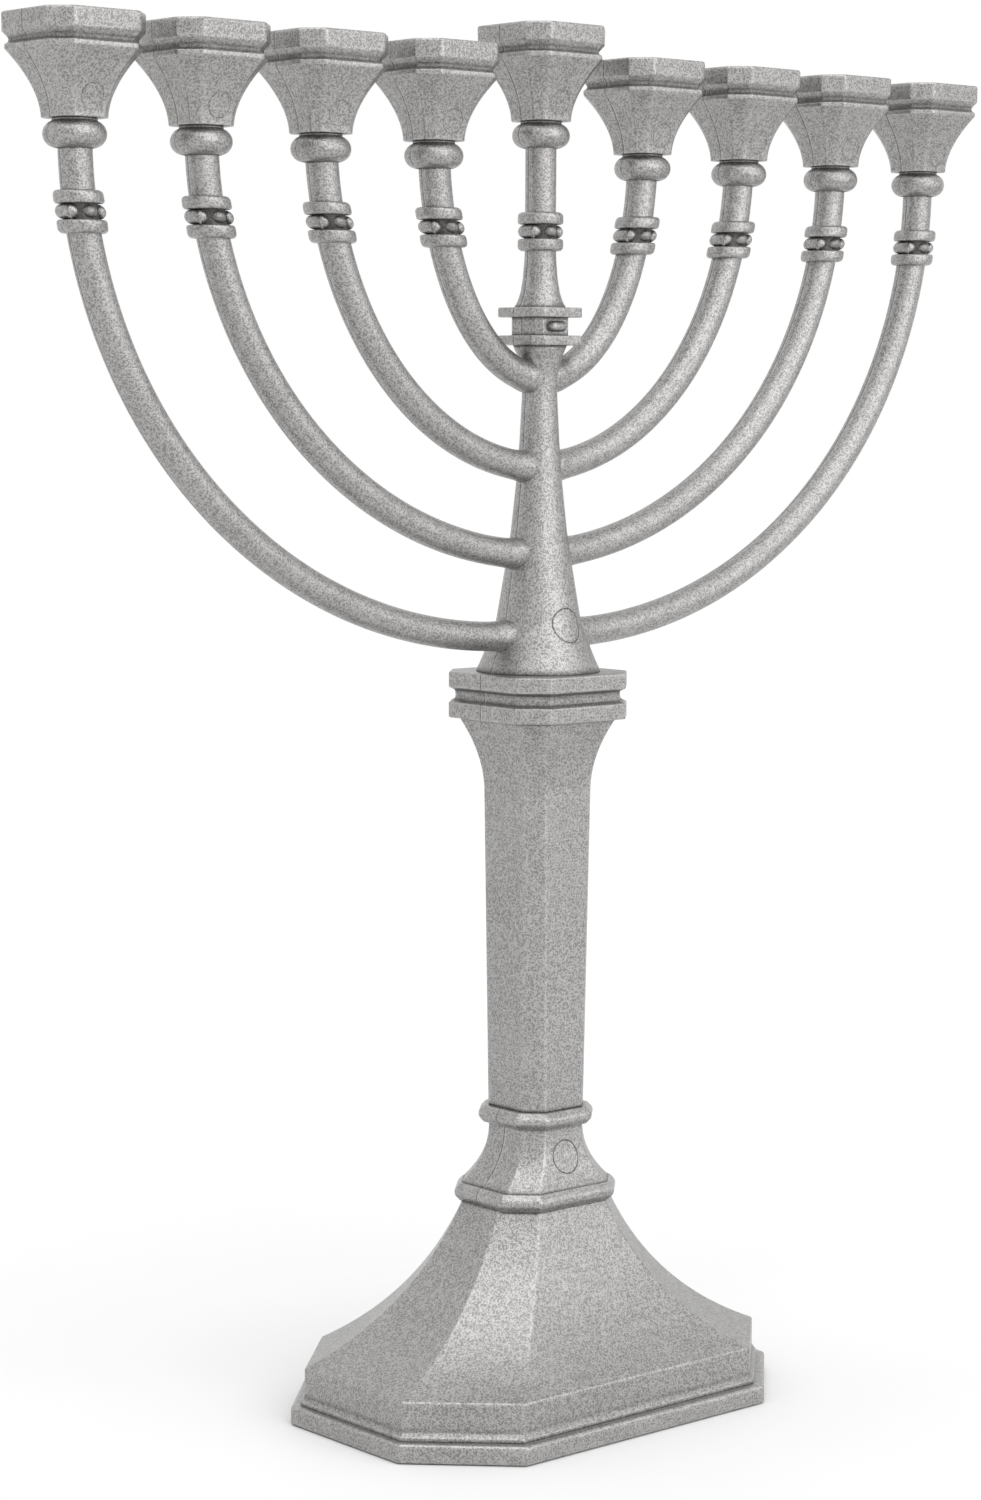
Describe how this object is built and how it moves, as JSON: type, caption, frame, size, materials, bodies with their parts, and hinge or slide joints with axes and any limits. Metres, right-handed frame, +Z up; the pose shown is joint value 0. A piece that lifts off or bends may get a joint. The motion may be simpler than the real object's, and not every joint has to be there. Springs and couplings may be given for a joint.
{
  "type": "menorah",
  "caption": "Branched candle holder: a raised middle light and curved arms in one plane on a round trunk, over a cut-cornered column and flared base.",
  "frame": {"origin": "centre of the base at the surface it stands on", "axes": "+Z up, X along the row of lights, -Y to the front"},
  "size_m": [0.2228, 0.0626, 0.254],
  "materials": {
    "satin_metal": "satin, fine blasted grain, silver grey",
    "rod_steel": "plain zinc-plated steel",
    "pad_felt": "dark felt"
  },
  "bodies": {
    "root": {"base_plate": "satin_metal", "base_shell": "satin_metal", "lower_collar": "satin_metal", "pedestal_neck": "satin_metal", "mid_collar": "satin_metal", "column": "satin_metal", "capital": "satin_metal", "tie_rod": "rod_steel", "rod_nut": "rod_steel", "rod_washer": "rod_steel", "trunk": "satin_metal", "knop": "satin_metal", "shamash_stem": "satin_metal", "shamash_collar": "satin_metal", "shamash_knob": "satin_metal", "shamash_cup": "satin_metal", "pad_front_left": "pad_felt", "pad_front_right": "pad_felt", "pad_rear_left": "pad_felt", "pad_rear_right": "pad_felt", "left_1_arm": "satin_metal", "left_1_collar": "satin_metal", "left_1_knob": "satin_metal", "left_1_cup": "satin_metal", "left_2_arm": "satin_metal", "left_2_collar": "satin_metal", "left_2_knob": "satin_metal", "left_2_cup": "satin_metal", "left_3_arm": "satin_metal", "left_3_collar": "satin_metal", "left_3_knob": "satin_metal", "left_3_cup": "satin_metal", "left_4_arm": "satin_metal", "left_4_collar": "satin_metal", "left_4_knob": "satin_metal", "left_4_cup": "satin_metal", "right_1_arm": "satin_metal", "right_1_collar": "satin_metal", "right_1_knob": "satin_metal", "right_1_cup": "satin_metal", "right_2_arm": "satin_metal", "right_2_collar": "satin_metal", "right_2_knob": "satin_metal", "right_2_cup": "satin_metal", "right_3_arm": "satin_metal", "right_3_collar": "satin_metal", "right_3_knob": "satin_metal", "right_3_cup": "satin_metal", "right_4_arm": "satin_metal", "right_4_collar": "satin_metal", "right_4_knob": "satin_metal", "right_4_cup": "satin_metal"}
  },
  "joints": []
}
